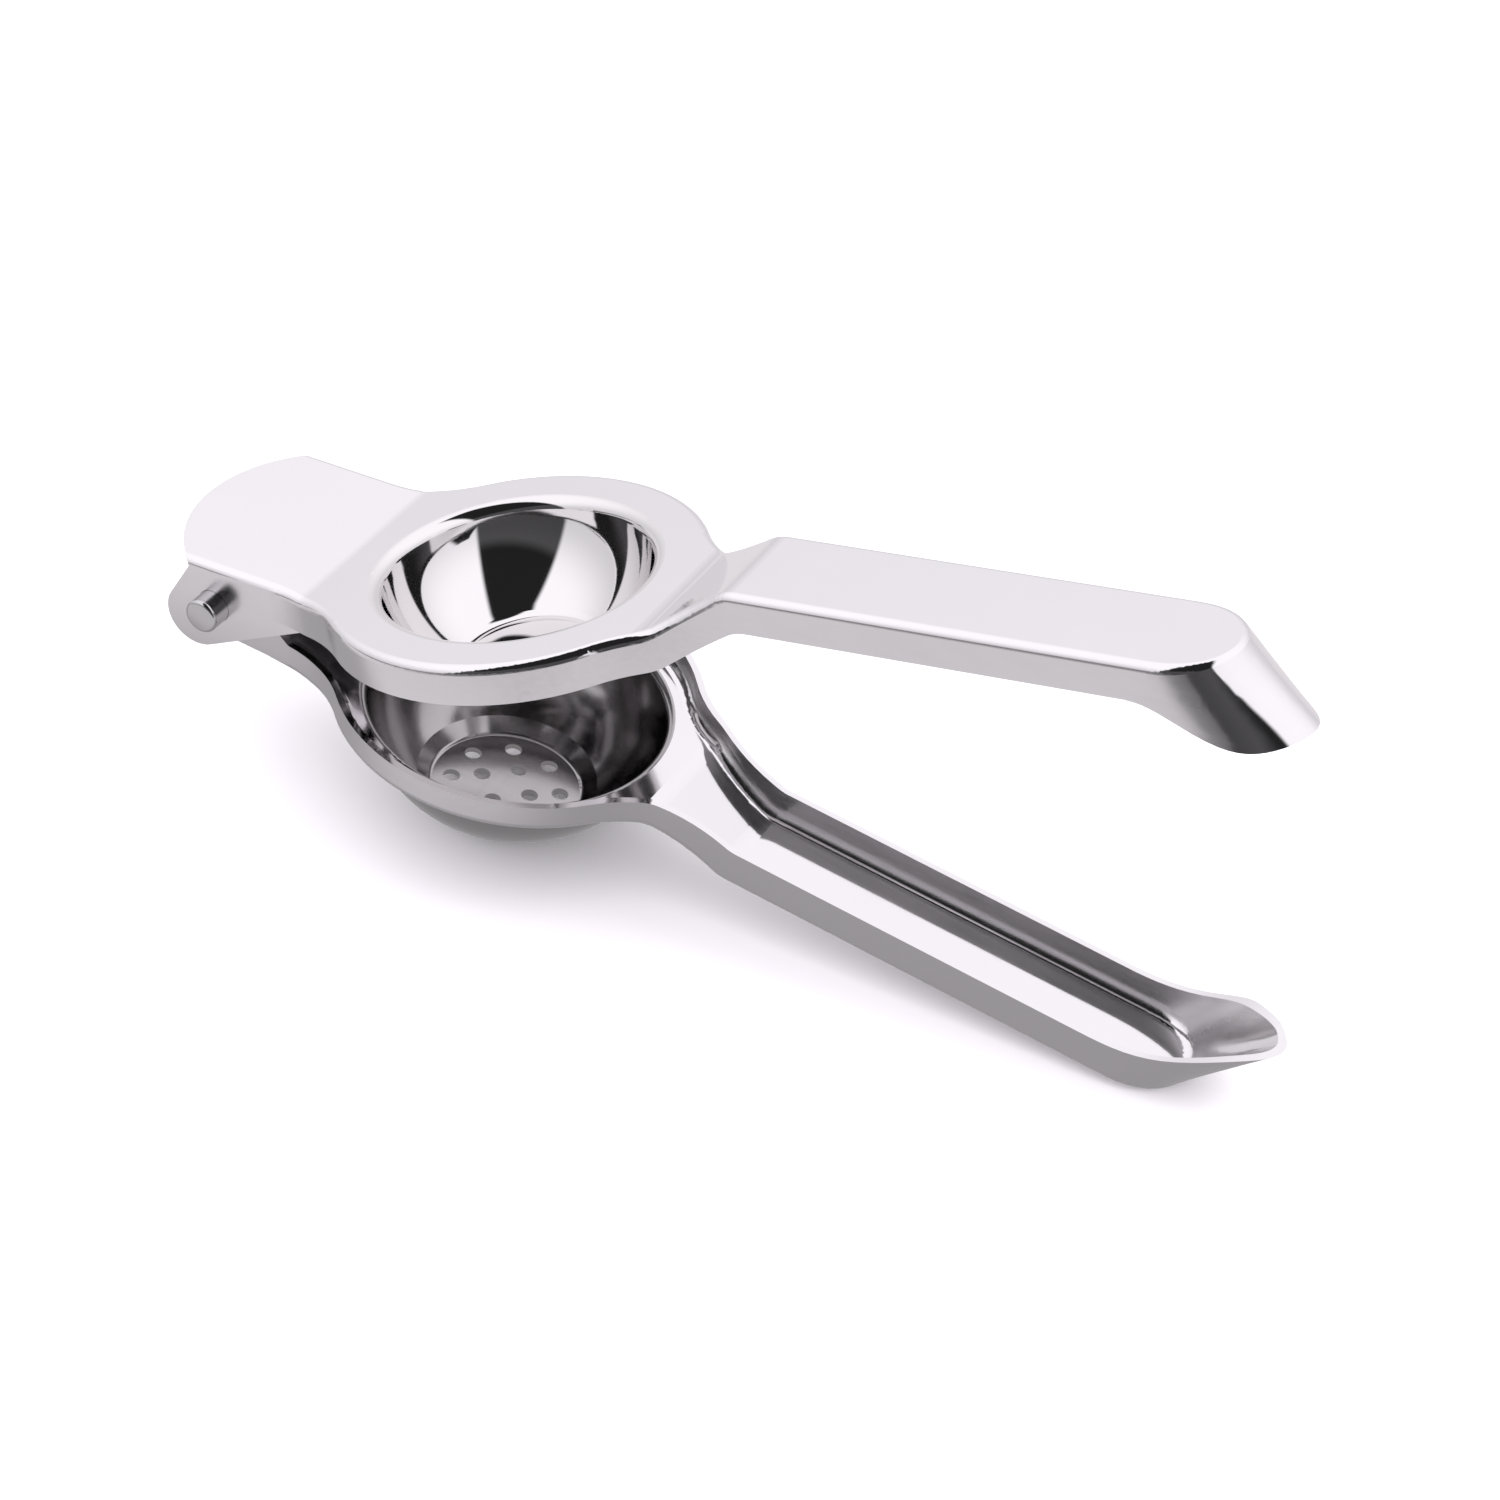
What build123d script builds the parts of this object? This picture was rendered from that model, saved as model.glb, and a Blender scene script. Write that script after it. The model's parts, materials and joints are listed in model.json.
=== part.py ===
from build123d import *
import os
from math import atan2, degrees, radians, sqrt, tan

# Citrus press: two pressed stainless arms on one hinge pin, a press cup in the
# upper arm and a perforated strainer cup in the lower arm. Millimetres, +Z up.
# Each arm is drawn level, with the hinge axis through (0, 0, 0) along Y and +X
# towards the handles, and is then turned to its rest attitude. The outer skin of
# an arm is the face that looks away from the other arm.

# ---- driving dimensions: sheet and hinge ----
SHEET = 1.3                # arm sheet thickness
CUP_SHEET = 1.1            # drawn cup wall
RIM_ROUND = 1.5            # rounded long edges of both arms
UP_INNER_ROUND = 1.0       # inside corners under the upper arm
LOW_INNER_ROUND = 2.4      # inside corners of the lower arm's trough
BEND_R = 7.0               # side-view bends of the outer skin
REST_OPEN = 18.2           # upper arm above the lower one at rest, degrees
PIN_R = 3.3
PIN_PROUD = 4.4            # pin end beyond the outer cheek
PIN_END_ROUND = 0.7        # ends are slightly domed
PIN_PLAY = 0.05            # radial clearance in the upper cheeks

# ---- ring and cups ----
CUP_X = 53.7               # hinge axis to cup centre
NECK_R = 28.0              # concave plan corners beside the rings
UP_RING_R = 35.3
UP_SKIN = 5.0              # upper ring skin above the hinge axis
UP_DEPTH = 7.4             # skin to flange edge
UP_HOLE_R = 27.0
UP_LIP_R = 2.4
UP_CUP_BOWL = 21.5         # depth of the press cup's spherical wall, if it had no flat bottom
UP_CUP_DEPTH = 17.8        # flat bottom below the skin
UP_CUP_CORNER = 4.0
LOW_RING_R = 34.4
LOW_SKIN = -8.9
LOW_DEPTH = 5.5
LOW_HOLE_R = 29.2
LOW_LIP_R = 1.5
LOW_CUP_DEPTH = 20.7
LOW_BOWL = ((24.3, -10.5), (16.9, -18.1))      # bowl wall: middle and foot of its arc
LOW_LEDGE_R = 14.4
HOLE_R = 1.6
HOLE_RINGS = ((4, 5.1, 2.0), (8, 10.3, 23.0))  # count, ring radius, first angle

# ---- hinge tabs ----
TAB_X = 21.0               # where both tabs start to rise
UP_HALF = 20.6             # half width over the upper cheeks
UP_TAB_R = 27.0
UP_TAB_BACK = -12.5        # back of the tab on the centre line
UP_TAB_CORNER = -3.4       # back of the tab at its sides
UP_TAB_SLOPE = 0.19        # rise towards the hinge
UP_LOBE = (-4.5, -2.5, 6.3)                    # cheek lobe: x, z, radius
UP_CHEEK_FRONT = 19.5
LOW_HALF = 18.3            # half width over the lower cheeks
LOW_TAB_R = 20.0
LOW_TAB_BACK = -7.0
LOW_TAB_CORNER = -3.0
LOW_TAB_SLOPE = 0.06
LOW_LOBE_R = 6.5
LOW_CHEEK_FRONT = 15.5

# ---- handles ----
RAMP_X = 88.0              # ring to handle step
HANDLE_X = 102.8
HANDLE_LEN = 77.7          # straight sides
NOSE_LEAD = 4.0            # length of straight side that belongs to the nose
UP_HANDLE_Z = 13.0
UP_HANDLE_HALF = 11.2
UP_HANDLE_TILT = 0.84      # degrees down towards the end, against the ring
UP_HANDLE_DEPTH = 7.2
LOW_HANDLE_Z = -16.2
LOW_HANDLE_HALF = 10.8
LOW_HANDLE_TILT = 2.27
LOW_HANDLE_DEPTH = 7.4
NOSE_FLAT = 12.1           # skin beyond the straight sides
NOSE_REACH = 26.4          # rim beyond the straight sides, at NOSE_DEPTH
NOSE_DEPTH = 16.0
NOSE_SHOULDER = (0.78, 0.74)                   # fullest point, as shares of reach and half width
NOSE_WALL = 1.7            # end wall measured along the handle

FAR = 60.0                 # reach of the cutting bodies
BEHIND = -30.0


# ---- plan outlines ----
def neck(half, ring_r, corner_r, side):
    """Start, middle and end of the concave corner between a straight side and the ring.

    side is -1 towards the hinge and +1 towards the handle."""
    reach = ring_r + corner_r
    centre = Vector(CUP_X + side * sqrt(reach ** 2 - (half + corner_r) ** 2), half + corner_r)
    on_side = Vector(centre.X, half)
    on_ring = Vector(CUP_X, 0) + (centre - Vector(CUP_X, 0)) * (ring_r / reach)
    middle = centre + ((on_side + on_ring) / 2 - centre).normalized() * corner_r
    return on_side, middle, on_ring


def plan(tab_half, ring_r, handle_half, tab_r, neck_r, back, corner):
    """Flat outline of an arm, from the back of its tab past the start of its nose."""
    tab_side, tab_mid, tab_ring = neck(tab_half, ring_r, tab_r, -1)
    hand_side, hand_mid, hand_ring = neck(handle_half, ring_r, neck_r, 1)
    end_x = HANDLE_X + HANDLE_LEN
    half = [
        Line((corner, tab_half), tab_side),
        ThreePointArc(tab_side, tab_mid, tab_ring),
        ThreePointArc(tab_ring, (CUP_X, ring_r), hand_ring),
        ThreePointArc(hand_ring, hand_mid, hand_side),
        Line(hand_side, (end_x, handle_half)),
    ]
    other = [edge.mirror(Plane.XZ) for edge in half]
    tab_back = ThreePointArc((corner, tab_half), (back, 0), (corner, -tab_half))
    end = Line((end_x, handle_half), (end_x, -handle_half))
    return make_face(Curve() + half + other + [tab_back, end])


# ---- side profiles ----
def offset_line(points, distances):
    """Corner points of a side line moved square to its runs, up where positive."""
    moved = []
    for i, ((x, z), distance) in enumerate(zip(points, distances)):
        before = points[max(i - 1, 0)]
        after = points[min(i + 1, len(points) - 1)]
        run_in = Vector(x - before[0], z - before[1])
        run_out = Vector(after[0] - x, after[1] - z)
        runs = [run.normalized() for run in (run_in, run_out) if run.length > 0]
        normal = Vector(0, 0)
        for run in runs:
            normal += Vector(-run.Y, run.X)
        normal = normal.normalized()
        miter = distance / normal.dot(Vector(-runs[0].Y, runs[0].X))
        moved.append((x + normal.X * miter, z + normal.Y * miter))
    return moved


def side_band(near_points, far_points):
    """Side-view face between two side lines."""
    near = FilletPolyline(*near_points, radius=BEND_R)
    far = FilletPolyline(*far_points, radius=BEND_R)
    return make_face(Curve() + [near, far, Line(near @ 0, far @ 0), Line(near @ 1, far @ 1)])


def across(face, half_width=FAR):
    """Extrude a side-view face along Y, both ways."""
    return extrude(Plane.XZ * face, amount=half_width, both=True)


def skin_line(skin, handle_z, tilt, tab_rise):
    """Side line of an arm's outer skin."""
    end_x = HANDLE_X + HANDLE_LEN + 10
    return [
        (BEHIND, skin + tab_rise * (TAB_X - BEHIND)),
        (TAB_X, skin),
        (RAMP_X, skin),
        (HANDLE_X, handle_z),
        (end_x, handle_z - tan(radians(tilt)) * (end_x - HANDLE_X)),
    ]


# ---- noses ----
def skin_end(reach, half):
    return EllipticalCenterArc((HANDLE_LEN, 0), reach, half, -90, arc_size=180)


def rim_end(reach, half):
    """Blunter than an ellipse."""
    along, out = NOSE_SHOULDER
    return Spline((HANDLE_LEN, -half), (HANDLE_LEN + along * reach, -out * half),
                  (HANDLE_LEN + reach, 0), (HANDLE_LEN + along * reach, out * half),
                  (HANDLE_LEN, half), tangents=((1, 0), (-1, 0)))


def nose_section(curve, half, z):
    start = HANDLE_LEN - NOSE_LEAD
    sides = [Line((start, half), (HANDLE_LEN, half)), Line((start, -half), (HANDLE_LEN, -half))]
    chord = Line((start, half), (start, -half))
    return Pos(0, 0, z) * make_face(Curve() + [curve, chord] + sides)


def nose_body(half, side_wall, end_wall, inward):
    """Flared boat-shaped end, drawn from the skin inward in the handle's own frame."""
    half -= side_wall
    flat = nose_section(skin_end(NOSE_FLAT - end_wall, half), half, 0)
    rim = nose_section(rim_end(NOSE_REACH - end_wall, half), half, NOSE_DEPTH * inward)
    return loft([flat, rim], ruled=True)


def rim_cut(rim, inward):
    """Everything past the edge of a nose, given the edge's side-view curve."""
    beyond = inward * FAR
    start = rim @ 0
    end = rim @ 1
    back = [
        Line(start, (start.X, beyond)),
        Line((start.X, beyond), (end.X, beyond)),
        Line((end.X, beyond), end),
    ]
    return across(make_face(Curve() + [rim] + back))


def arm_body(outline, band, half, walls, frame, inward):
    """Solid arm or cavity: the side band within the outline, and the nose."""
    length = HANDLE_LEN - NOSE_LEAD
    body = across(band) & extrude(outline, amount=FAR, both=True)
    body -= frame * Pos(length + FAR / 2, 0, 0) * Box(FAR, FAR, FAR)
    return body + frame * nose_body(half, walls[0], walls[1], inward)


def long_edges(body, inward, corner_x):
    """Edges around the skin, without the back of the tab."""
    skin = [
        face for face in body.faces()
        if face.geom_type in (GeomType.PLANE, GeomType.CYLINDER)
        and face.normal_at(face.center()).Z * -inward > 0.5
    ]
    edges = [edge for face in skin for edge in face.edges()]
    return [
        edge for edge in edges
        if sum(1 for other in edges if other.is_same(edge)) == 1
        and edge.center(CenterOf.GEOMETRY).X > corner_x
    ]


def pressed_arm(half, ring_r, handle_half, tab_r, tab_ends, line, depths, rim, inward, tilt, inside):
    """Sheet arm with turned flanges, open on the side that faces the other arm."""
    frame = Location((HANDLE_X, 0, line[3][1]), (0, tilt, 0))
    edge_line = offset_line(line, [inward * depth for depth in depths])
    outer_plan = plan(half, ring_r, handle_half, tab_r, NECK_R, *tab_ends)
    outer = arm_body(outer_plan, side_band(line, edge_line), handle_half, (0, 0), frame, inward)
    outer = fillet(long_edges(outer, inward, tab_ends[1] - 0.5), RIM_ROUND)
    inner_plan = plan(half - SHEET, ring_r - SHEET, handle_half - SHEET,
                      tab_r + SHEET, NECK_R + SHEET, BEHIND + 2, BEHIND + 6)
    inner_band = side_band(offset_line(line, [inward * SHEET] * len(line)),
                           offset_line(line, [inward * FAR / 2] * len(line)))
    inner = arm_body(inner_plan, inner_band, handle_half, (SHEET, NOSE_WALL), frame, inward)
    inner -= frame * Pos(HANDLE_LEN, 0, inward * (SHEET - FAR / 2)) * Box(FAR, FAR, FAR)
    inner = fillet(long_edges(inner, inward, BEHIND + 8), inside)
    return outer - inner - frame * rim_cut(rim, inward)


def cheek_pair(outline, outer_half):
    """Two cheek plates, cut from one side-view outline."""
    both = across(outline, outer_half)
    return both - Box(4 * FAR, 2 * (outer_half - SHEET), 4 * FAR)


def cross_hole(radius):
    return across(Circle(radius))


# ---- upper arm ----
def upper_arm():
    line = skin_line(UP_SKIN, UP_HANDLE_Z, UP_HANDLE_TILT, UP_TAB_SLOPE)
    rim = Spline((HANDLE_LEN - NOSE_LEAD - 1, -UP_HANDLE_DEPTH), (HANDLE_LEN + 4, -10.0),
                 (HANDLE_LEN + 14, -14.0), (HANDLE_LEN + 32, -12.0), tangents=((1, 0), (1, 0.25)))
    depths = (UP_DEPTH, UP_DEPTH, UP_DEPTH, UP_HANDLE_DEPTH, UP_HANDLE_DEPTH)
    arm = pressed_arm(UP_HALF, UP_RING_R, UP_HANDLE_HALF, UP_TAB_R, (UP_TAB_BACK, UP_TAB_CORNER),
                      line, depths, rim, -1, UP_HANDLE_TILT, UP_INNER_ROUND)
    lobe_x, lobe_z, lobe_r = UP_LOBE
    front = UP_CHEEK_FRONT
    top = UP_SKIN + UP_TAB_SLOPE * (TAB_X - front) - SHEET / 2
    back_top = UP_SKIN + UP_TAB_SLOPE * (TAB_X - UP_TAB_CORNER) - RIM_ROUND
    frame = Polyline((front, top), (UP_TAB_CORNER, back_top), (front, UP_SKIN - UP_DEPTH), (front, top))
    lobe = Pos(lobe_x, lobe_z) * CenterArc((0, 0), lobe_r, 0, 360)
    cheeks = cheek_pair(make_hull(frame.edges() + lobe.edges()), UP_HALF)
    arm = arm + cheeks - cross_hole(PIN_R + PIN_PLAY)
    return arm - Pos(CUP_X, 0, UP_SKIN) * Cylinder(UP_HOLE_R, 4 * SHEET)


def press_cup():
    rise = (UP_HOLE_R ** 2 - UP_CUP_BOWL ** 2) / (2 * UP_CUP_BOWL)
    centre_z = rise - UP_LIP_R
    meet = degrees(atan2(rise, UP_HOLE_R))
    inside = bowl(centre_z, centre_z + UP_CUP_BOWL, meet, UP_CUP_DEPTH, UP_CUP_CORNER)
    outside = bowl(centre_z, centre_z + UP_CUP_BOWL + CUP_SHEET, meet,
                   UP_CUP_DEPTH + CUP_SHEET, UP_CUP_CORNER + CUP_SHEET)
    return Pos(CUP_X, 0, UP_SKIN) * spun_cup(inside, outside, UP_HOLE_R, UP_LIP_R, 90 - meet)


def bowl(centre_z, radius, start, depth, corner):
    """Round wall from its start angle below the level, a corner arc and a flat bottom."""
    corner_z = corner - depth
    corner_x = sqrt((radius - corner) ** 2 - (centre_z - corner_z) ** 2)
    turn = degrees(atan2(centre_z - corner_z, corner_x))
    wall = CenterArc((0, centre_z), radius, -start, start - turn)
    foot = CenterArc((corner_x, corner_z), corner, -turn, turn - 90)
    return Wire([wall, foot, Line(foot @ 1, (0, -depth))])


def spun_cup(inside, outside, hole_r, lip, turn=90):
    """Drawn cup with a rolled lip that sits flush in the arm's opening."""
    inner_lip = CenterArc((hole_r, -lip), lip, 90, turn)
    outer_lip = CenterArc((hole_r, -lip), lip - CUP_SHEET, 90, turn)
    collar = Line((hole_r, 0), (hole_r, -CUP_SHEET))
    axis_line = Line(inside @ 1, outside @ 1)
    profile = make_face(Curve() + [inner_lip, inside, axis_line, outside, outer_lip, collar])
    return revolve(Plane.XZ * profile, Axis.Z)


# ---- lower arm ----
def lower_arm():
    line = skin_line(LOW_SKIN, LOW_HANDLE_Z, LOW_HANDLE_TILT, LOW_TAB_SLOPE)
    rim = Spline((HANDLE_LEN - NOSE_LEAD - 1, LOW_HANDLE_DEPTH), (HANDLE_LEN + 8, 9.6),
                 (HANDLE_LEN + 17, 13.9), (HANDLE_LEN + 32, 17.2), tangents=((1, 0), (1, 0.1)))
    depths = (LOW_DEPTH, LOW_DEPTH, LOW_DEPTH, LOW_HANDLE_DEPTH, LOW_HANDLE_DEPTH)
    arm = pressed_arm(LOW_HALF, LOW_RING_R, LOW_HANDLE_HALF, LOW_TAB_R, (LOW_TAB_BACK, LOW_TAB_CORNER),
                      line, depths, rim, 1, LOW_HANDLE_TILT, LOW_INNER_ROUND)
    front = LOW_CHEEK_FRONT
    foot = LOW_SKIN + RIM_ROUND
    frame = Polyline((front, foot), (front, LOW_SKIN + LOW_DEPTH), (LOW_TAB_CORNER, foot), (front, foot))
    lobe = CenterArc((0, 0), LOW_LOBE_R, 0, 360)
    cheeks = cheek_pair(make_hull(frame.edges() + lobe.edges()), LOW_HALF)
    arm = arm + cheeks - cross_hole(PIN_R)
    return arm - Pos(CUP_X, 0, LOW_SKIN) * Cylinder(LOW_HOLE_R, 4 * SHEET)


def strainer_cup():
    lip = LOW_LIP_R
    wall = LOW_HOLE_R - lip
    middle, foot = LOW_BOWL
    bowl = ThreePointArc((wall, -lip), middle, foot)
    floor = FilletPolyline(foot, (LOW_LEDGE_R, -LOW_CUP_DEPTH), (0, -LOW_CUP_DEPTH), radius=1.0)
    out_middle = (middle[0] + 0.9 * CUP_SHEET, middle[1] - 0.5 * CUP_SHEET)
    out_foot = (foot[0] + 0.7 * CUP_SHEET, foot[1] - 0.8 * CUP_SHEET)
    out_bowl = ThreePointArc((wall + CUP_SHEET, -lip), out_middle, out_foot)
    bottom = -LOW_CUP_DEPTH - CUP_SHEET
    out_floor = FilletPolyline(out_foot, (LOW_LEDGE_R - 0.3, bottom), (0, bottom), radius=2.0)
    inside = Wire(bowl.edges() + floor.edges())
    outside = Wire(out_bowl.edges() + out_floor.edges())
    cup = spun_cup(inside, outside, LOW_HOLE_R, lip)
    for count, ring_r, first in HOLE_RINGS:
        cup -= PolarLocations(ring_r, count, first) * Cylinder(HOLE_R, 4 * FAR)
    return Pos(CUP_X, 0, LOW_SKIN + SHEET) * cup


# ---- hinge ----
def hinge_pin():
    length = UP_HALF + PIN_PROUD
    pin = Rot(90, 0, 0) * Cylinder(PIN_R, 2 * length) & Sphere(length)
    rims = pin.edges().sort_by(Axis.Y)
    return fillet([rims[0], rims[-1]], PIN_END_ROUND)


# ---- assembly ----
def rest_pitch():
    """Lower arm's lean, so that the strainer's foot and the handle's end both touch down."""
    cup_x = CUP_X + LOW_LEDGE_R - 1.5
    cup_z = LOW_SKIN + SHEET - LOW_CUP_DEPTH - CUP_SHEET
    end_x = HANDLE_X + HANDLE_LEN + NOSE_FLAT - RIM_ROUND
    end_z = LOW_HANDLE_Z - tan(radians(LOW_HANDLE_TILT)) * (end_x - HANDLE_X)
    return degrees(atan2(end_z - cup_z, end_x - cup_x))


os.makedirs("parts", exist_ok=True)
low_pitch = rest_pitch()
lower = {"lower_arm": lower_arm(), "strainer_cup": strainer_cup(), "hinge_pin": hinge_pin()}
upper = {"upper_arm": upper_arm(), "press_cup": press_cup()}
placed = {name: Rot(0, low_pitch, 0) * shape for name, shape in lower.items()}
placed.update({name: Rot(0, low_pitch - REST_OPEN, 0) * shape for name, shape in upper.items()})
boxes = [shape.bounding_box() for shape in placed.values()]
low_x = min(box.min.X for box in boxes)
high_x = max(box.max.X for box in boxes)
floor_z = min(box.min.Z for box in boxes)
origin = Vector((low_x + high_x) / 2, 0, floor_z)
for name, shape in placed.items():
    export_step(Pos(-origin) * shape, f"parts/{name}.step")
print("lower arm pitch", round(low_pitch, 3), "hinge axis at", -origin)
for name, box in zip(placed, boxes):
    print(name, "x", round(box.min.X, 2), round(box.max.X, 2), "z", round(box.min.Z, 2), round(box.max.Z, 2))
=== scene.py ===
import json
from math import cos, radians, sin
from typing import NamedTuple

import bpy
from mathutils import Matrix, Vector

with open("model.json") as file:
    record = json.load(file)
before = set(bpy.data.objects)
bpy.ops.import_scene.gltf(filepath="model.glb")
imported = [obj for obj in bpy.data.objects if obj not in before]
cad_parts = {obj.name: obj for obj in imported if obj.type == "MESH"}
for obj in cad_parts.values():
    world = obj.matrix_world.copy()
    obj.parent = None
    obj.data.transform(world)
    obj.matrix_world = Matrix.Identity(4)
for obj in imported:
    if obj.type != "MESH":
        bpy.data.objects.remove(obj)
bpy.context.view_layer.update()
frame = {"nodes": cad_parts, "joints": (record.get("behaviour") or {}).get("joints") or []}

MM = 0.001
MICRON = 0.001 * MM
HINGE = Vector(frame["joints"][0]["pos_m"])

# ---- camera, placed from the hinge axis ----
CAM_AZIMUTH = 23.89        # degrees from -Y towards +X
CAM_ELEVATION = 38.20      # degrees over the horizon
CAM_ROLL = 6.52            # degrees about the line of sight
CAM_LEAN = 0.27            # degrees that the whole view is turned about the hinge axis
CAM_DISTANCE = 638.5 * MM
CAM_AIM = Vector((100.4, 0.0, -1.8)) * MM
CAM_LENS = 86.2            # mm, for a sensor of CAM_SENSOR
CAM_SENSOR = 36
CAM_CLIP = 10 * MM

# ---- steel: features per metre, detail and stretch of each noise ----
CLOUD = (60, 3, (1, 1, 1))              # uneven polish
LINES = (1400, 3, (0.06, 1, 1))         # fine lines along the press
WIPES = (700, 2, (0.5, 0.08, 1))        # short marks across it
WAVES = (35, 1, (1, 1, 1))              # slow waves of the pressed sheet
WIPE_EDGE = (0.60, 0.72)                # noise levels where a wiping mark starts and is full
WIPE_PATCH = (0.45, 0.65)               # cloud levels where such marks start and are full
WIPE_ROUGHNESS = 0.025                  # added in a full mark
UNEVEN = 0.40                           # share of the roughness that follows cloud and lines
SHADING = 0.5                           # how much of the cloud shows in the colour
DULL = 0.93                             # dullest colour as a share of the brightest
LINE_STRENGTH = 0.4


class Finish(NamedTuple):
    """How one piece is polished."""

    colour: tuple
    gloss: float        # roughness of faces that look up or down
    satin: float        # roughness of upright and flared faces
    upright: float      # |normal z| up to which a face is satin
    level: float        # |normal z| from which a face is glossy
    wave: float         # height of the slow waves
    line: float         # height of the fine lines


FINISHES = {
    "upper_arm": Finish((0.82, 0.803, 0.82), 0.06, 0.24, 0.20, 0.50, 20 * MICRON, 1.2 * MICRON),
    "lower_arm": Finish((0.78, 0.763, 0.78), 0.08, 0.38, 0.35, 0.85, 10 * MICRON, 1.0 * MICRON),
    "press_cup": Finish((0.80, 0.785, 0.79), 0.045, 0.05, 0.10, 0.20, 20 * MICRON, 1.0 * MICRON),
    # painted shade: the strainer cup's steel colour is kept dark to stand for the shade under the
    # press cup that it mirrors
    "strainer_cup": Finish((0.42, 0.405, 0.41), 0.14, 0.17, 0.30, 0.90, 10 * MICRON, 1.0 * MICRON),
    "hinge_pin": Finish((0.60, 0.59, 0.60), 0.15, 0.18, 0.10, 0.40, 10 * MICRON, 1.0 * MICRON),
}

# ---- studio; a ramp is where it starts and ends, then its two levels ----
TENT_COLOUR = (0.985, 0.965, 1.0, 1)
TENT_RAMP = (0.0, 0.8, 0.80, 1.25)      # level by height of the direction
OPENING_WIDTH = 0.27                    # half width of the dark opening overhead
OPENING_SPREAD = 0.42                   # how it widens towards the front
OPENING_SIDES = (-0.03, 0.05)           # soft edge of its sides
OPENING_END = (-0.42, -0.30)            # soft edge behind the zenith
OPENING_RAMP = (0.42, 0.60, 0.93, 1.0)  # depth by height: a little lighter low down
OPENING_DARK = 0.985
FLOOR_LIGHT = 1.85                      # tent level that lights the floor
BACKDROP = 1.1                          # tent level that the camera sees

KEY_FROM = (140, 68)                    # azimuth and elevation, degrees
KEY_ENERGY = 0.4
KEY_ANGLE = 50                          # degrees
KEY_COLOUR = (1.0, 1.0, 0.93)

FLOOR_COLOUR = (0.94, 0.925, 0.945, 1)
FLOOR_ROUGHNESS = 0.7
FLOOR_HALF = 3.0
FLOOR_DROP = 0.2 * MM
PAINTED_GLOW_COLOUR = (1.0, 0.97, 1.0, 1)       # painted reflection: the floor as the steel mirrors it is this glow
PAINTED_SHADOW_NEAR = (0.035, 0.065, 0.40, 0.76)  # levels by distance ahead of the origin, towards -Y: painted shadow near the object, painted shade far off
PAINTED_SHADE_FAR = (0.15, 0.24, 1.0, 0.30)
PAINTED_SHADOW_REAR = (-0.10, 0.0, 0.85, 0.42)


def direction(azimuth, elevation):
    """Unit vector at an azimuth from -Y towards +X and a height over the horizon."""
    az, el = radians(azimuth), radians(elevation)
    return Vector((sin(az) * cos(el), -cos(az) * cos(el), sin(el)))


def add_object(name, data):
    obj = bpy.data.objects.new(name, data)
    bpy.context.collection.objects.link(obj)
    return obj


def camera():
    """Camera that looks down on the open press from the front, a little from its handles' end."""
    back = direction(CAM_AZIMUTH, CAM_ELEVATION)
    level = direction(CAM_AZIMUTH + 90, 0)
    upright = back.cross(level)
    roll = radians(CAM_ROLL)
    right = level * cos(roll) + upright * sin(roll)
    up = upright * cos(roll) - level * sin(roll)
    data = bpy.data.cameras.new("camera")
    data.lens = CAM_LENS
    data.sensor_width = CAM_SENSOR
    data.clip_start = CAM_CLIP
    turn = Matrix((right, up, back)).transposed().to_4x4()
    lean = Matrix.Rotation(radians(CAM_LEAN), 4, "Y")
    place = lean @ Matrix.Translation(CAM_AIM + back * CAM_DISTANCE) @ turn
    obj = add_object("camera", data)
    obj.matrix_world = Matrix.Translation(HINGE) @ place
    bpy.context.scene.camera = obj


# ---- node helpers ----
class Graph:
    """Short ways to add and join shader nodes."""

    def __init__(self, tree):
        self.nodes = tree.nodes
        self.links = tree.links

    def add(self, kind, **settings):
        node = self.nodes.new(kind)
        for key, value in settings.items():
            setattr(node, key, value)
        return node

    def put(self, socket, value):
        """Link value to the socket if it is a socket, or set it there."""
        if isinstance(value, bpy.types.NodeSocket):
            self.links.new(value, socket)
        else:
            socket.default_value = value

    def math(self, operation, *values):
        node = self.add("ShaderNodeMath", operation=operation)
        for socket, value in zip(node.inputs, values):
            self.put(socket, value)
        return node.outputs[0]

    def dot(self, vector, towards):
        node = self.add("ShaderNodeVectorMath", operation="DOT_PRODUCT")
        self.put(node.inputs[0], vector)
        self.put(node.inputs[1], towards)
        return node.outputs["Value"]

    def ease(self, value, low, high, start=0.0, end=1.0):
        """Smooth step from start to end while value goes from low to high."""
        node = self.add("ShaderNodeMapRange", interpolation_type="SMOOTHSTEP")
        for name, number in (("Value", value), ("From Min", low), ("From Max", high),
                             ("To Min", start), ("To Max", end)):
            self.put(node.inputs[name], number)
        return node.outputs["Result"]

    def noise(self, vector, scale, detail, stretch):
        mapping = self.add("ShaderNodeMapping")
        self.put(mapping.inputs["Scale"], stretch)
        self.put(mapping.inputs["Vector"], vector)
        node = self.add("ShaderNodeTexNoise")
        self.put(node.inputs["Vector"], mapping.outputs["Vector"])
        self.put(node.inputs["Scale"], scale)
        self.put(node.inputs["Detail"], detail)
        return node.outputs["Fac"]

    def blend(self, factor, first, second):
        """first where factor is 0, second where it is 1, as plain numbers."""
        span = self.math("SUBTRACT", second, first)
        return self.math("MULTIPLY_ADD", span, factor, first)

    def bump(self, height, distance, strength, normal=None):
        node = self.add("ShaderNodeBump")
        self.put(node.inputs["Height"], height)
        self.put(node.inputs["Distance"], distance)
        self.put(node.inputs["Strength"], strength)
        if normal is not None:
            self.put(node.inputs["Normal"], normal)
        return node.outputs["Normal"]

    def mix_shaders(self, factor, first, second):
        node = self.add("ShaderNodeMixShader")
        for socket, value in zip(node.inputs, (factor, first, second)):
            self.put(socket, value)
        return node.outputs[0]


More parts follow.
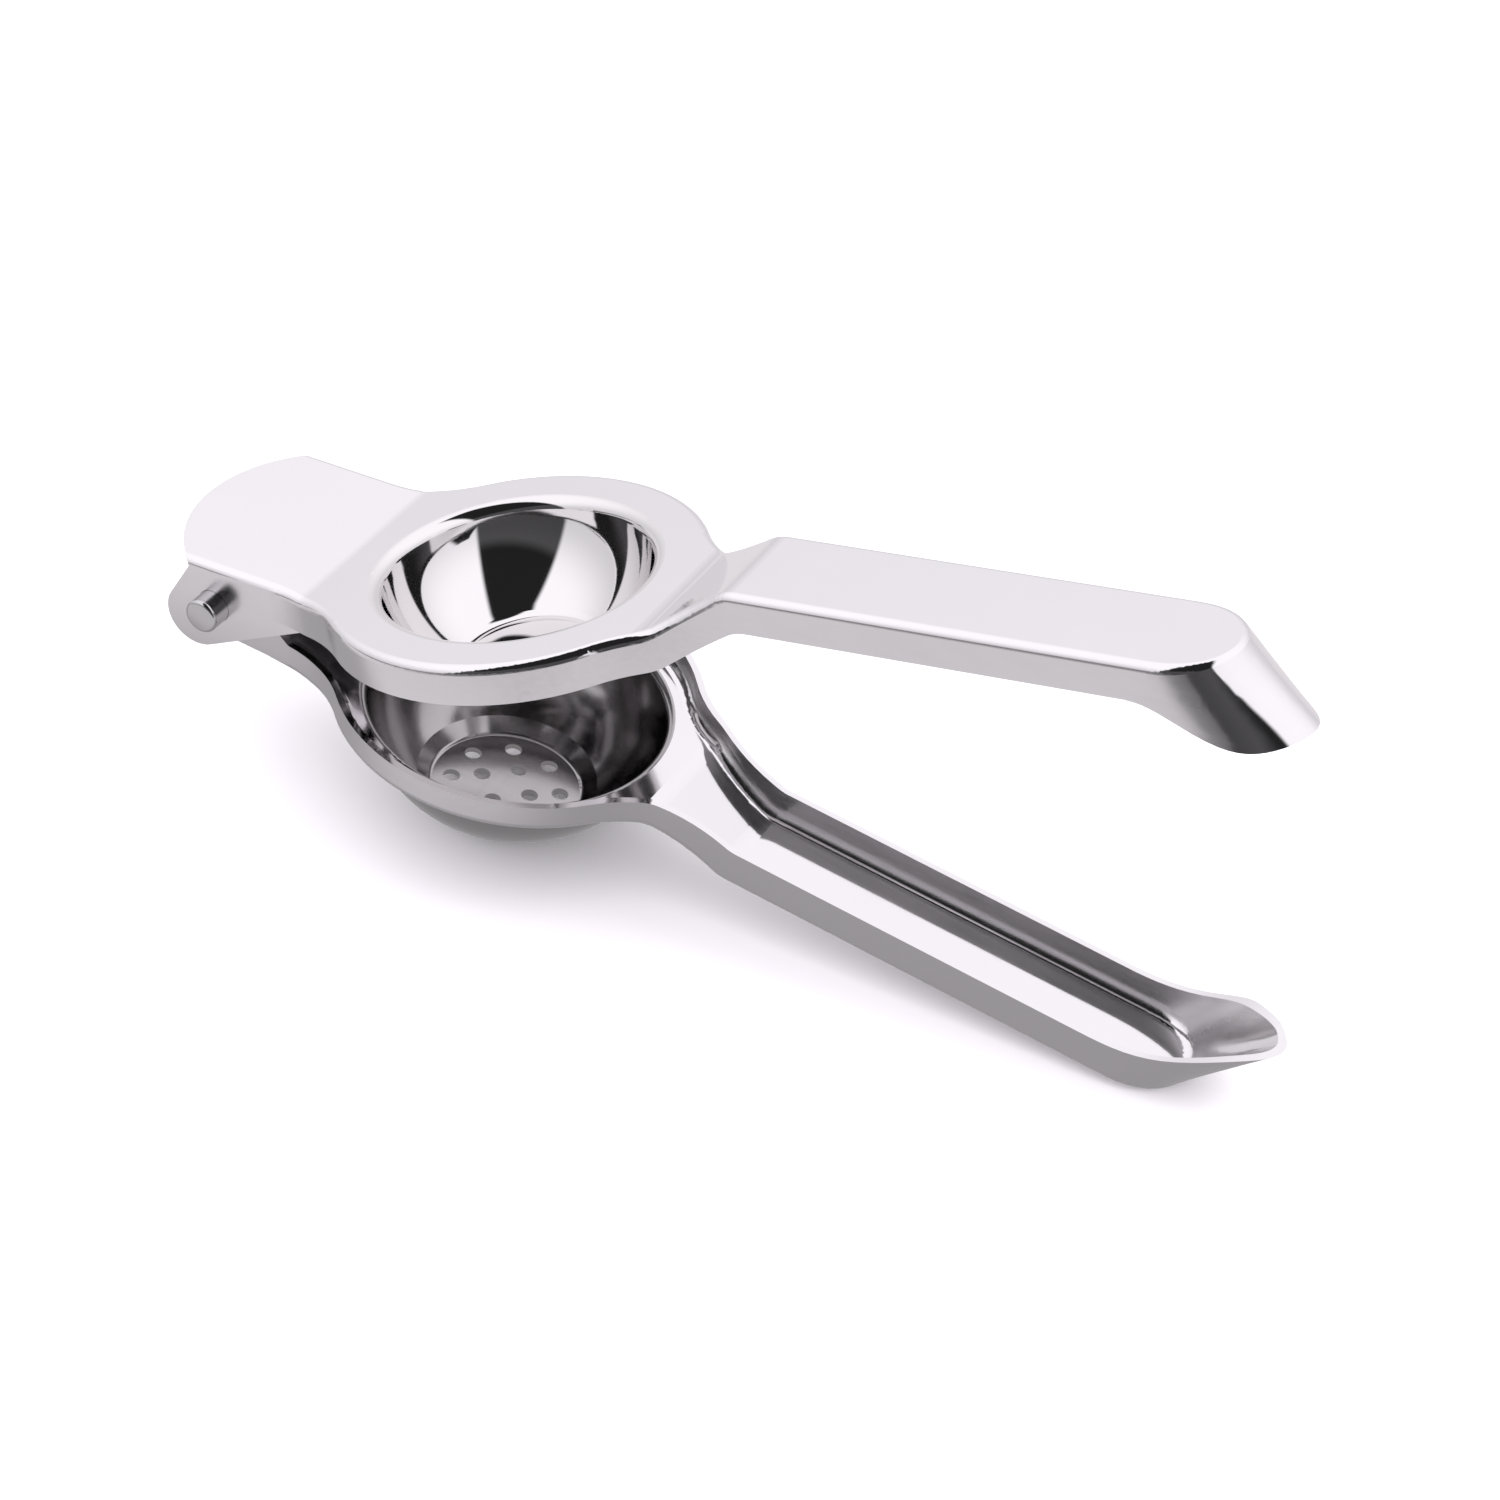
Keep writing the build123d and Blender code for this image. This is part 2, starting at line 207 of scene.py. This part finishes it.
def new_material(name):
    mat = bpy.data.materials.new(name)
    mat.use_nodes = True
    g = Graph(mat.node_tree)
    return mat, g, g.nodes["Principled BSDF"]


# ---- the object ----
def steel(name, finish):
    """Polished stainless sheet.

    Faces that look up or down are near mirror, upright and flared ones satin. Both carry
    slow waves, fine lines along the press and small wiping marks."""
    mat, g, shader = new_material(name)
    g.put(shader.inputs["Metallic"], 1.0)
    coords = g.add("ShaderNodeTexCoord")
    place = coords.outputs["Object"]
    cloud = g.noise(place, *CLOUD)
    lines = g.noise(place, *LINES)
    wipes = g.noise(place, *WIPES)
    waves = g.noise(place, *WAVES)

    marks = g.math("MULTIPLY", g.ease(wipes, *WIPE_EDGE), g.ease(cloud, *WIPE_PATCH))
    level = g.math("ABSOLUTE", g.dot(coords.outputs["Normal"], (0, 0, 1)))
    upright = g.ease(level, finish.upright, finish.level, 1.0, 0.0)
    rough = g.blend(upright, finish.gloss, finish.satin)
    uneven = g.math("MULTIPLY_ADD", g.math("ADD", cloud, lines), UNEVEN, 1 - UNEVEN)
    rough = g.math("MULTIPLY", rough, uneven)
    g.put(shader.inputs["Roughness"], g.math("MULTIPLY_ADD", marks, WIPE_ROUGHNESS, rough))

    shade = g.add("ShaderNodeMix", data_type="RGBA")
    g.put(shade.inputs["Factor"], g.math("MULTIPLY", cloud, SHADING))
    g.put(shade.inputs["A"], (*finish.colour, 1))
    g.put(shade.inputs["B"], (*[DULL * c for c in finish.colour], 1))
    g.put(shader.inputs["Base Color"], shade.outputs["Result"])

    surface = g.bump(waves, finish.wave, 1.0)
    g.put(shader.inputs["Normal"], g.bump(lines, finish.line, LINE_STRENGTH, surface))
    return mat


def polish_pieces():
    for name, finish in FINISHES.items():
        polish = steel(name + "_polish", finish)
        for slot in frame["nodes"][name].material_slots:
            slot.material = polish


# ---- the studio ----
def tent():
    """White surroundings with a dark opening that runs from the camera's side overhead."""
    world = bpy.data.worlds.new("studio")
    bpy.context.scene.world = world
    world.use_nodes = True
    g = Graph(world.node_tree)
    way = g.add("ShaderNodeTexCoord").outputs["Generated"]
    height = g.dot(way, (0, 0, 1))
    front = g.dot(way, direction(CAM_AZIMUTH, 0))
    sideways = g.math("ABSOLUTE", g.dot(way, direction(CAM_AZIMUTH + 90, 0)))
    width = g.math("MULTIPLY_ADD", front, OPENING_SPREAD, OPENING_WIDTH)
    within = g.ease(g.math("SUBTRACT", width, sideways), *OPENING_SIDES)
    dark = g.math("MULTIPLY", within, g.ease(front, *OPENING_END))
    dark = g.math("MULTIPLY", dark, g.ease(height, *OPENING_RAMP))
    kept = g.math("SUBTRACT", 1.0, g.math("MULTIPLY", dark, OPENING_DARK))
    mirrored = g.math("MULTIPLY", g.ease(height, *TENT_RAMP), kept)
    light = g.add("ShaderNodeLightPath")
    strength = g.blend(light.outputs["Is Diffuse Ray"], mirrored, FLOOR_LIGHT)
    strength = g.blend(light.outputs["Is Camera Ray"], strength, BACKDROP)
    background = g.nodes["Background"]
    g.put(background.inputs["Color"], TENT_COLOUR)
    g.put(background.inputs["Strength"], strength)


def key_light():
    """Soft key from behind on the right, which the steel doesn't mirror."""
    data = bpy.data.lights.new("key", "SUN")
    data.energy = KEY_ENERGY
    data.angle = radians(KEY_ANGLE)
    data.color = KEY_COLOUR
    lamp = add_object("key", data)
    lamp.rotation_euler = direction(*KEY_FROM).to_track_quat("Z", "Y").to_euler()
    lamp.visible_glossy = False


def paper():
    """Pale floor, plain to the camera; where steel mirrors it, a painted reflection: a glow with
    painted shadow near the object and painted shade far off.
    """
    mat, g, shader = new_material("paper_floor")
    g.put(shader.inputs["Base Color"], FLOOR_COLOUR)
    g.put(shader.inputs["Roughness"], FLOOR_ROUGHNESS)
    geometry = g.add("ShaderNodeNewGeometry")
    ahead = g.dot(geometry.outputs["Position"], (0, -1, 0))
    level = g.math("MAXIMUM", g.ease(ahead, *PAINTED_SHADOW_NEAR), g.ease(ahead, *PAINTED_SHADOW_REAR))
    level = g.math("MULTIPLY", level, g.ease(ahead, *PAINTED_SHADE_FAR))
    # painted reflection: only the steel's mirror rays see this glow, in place of the lit floor
    painted_glow = g.add("ShaderNodeEmission")
    g.put(painted_glow.inputs["Color"], PAINTED_GLOW_COLOUR)
    g.put(painted_glow.inputs["Strength"], level)
    light = g.add("ShaderNodeLightPath")
    above = g.mix_shaders(light.outputs["Is Glossy Ray"], shader.outputs[0], painted_glow.outputs[0])
    # seen from below, the floor lets the underside of the object show
    clear = g.add("ShaderNodeBsdfTransparent")
    both = g.mix_shaders(geometry.outputs["Backfacing"], above, clear.outputs[0])
    g.put(g.nodes["Material Output"].inputs["Surface"], both)
    return mat


def floor():
    corners = [(x * FLOOR_HALF, y * FLOOR_HALF, 0) for x, y in ((-1, -1), (1, -1), (1, 1), (-1, 1))]
    mesh = bpy.data.meshes.new("floor")
    mesh.from_pydata(corners, [], [(0, 1, 2, 3)])
    mesh.materials.append(paper())
    obj = add_object("floor", mesh)
    obj.location.z = -FLOOR_DROP


camera()
tent()
key_light()
floor()
polish_pieces()
bpy.context.scene.view_settings.view_transform = "Standard"
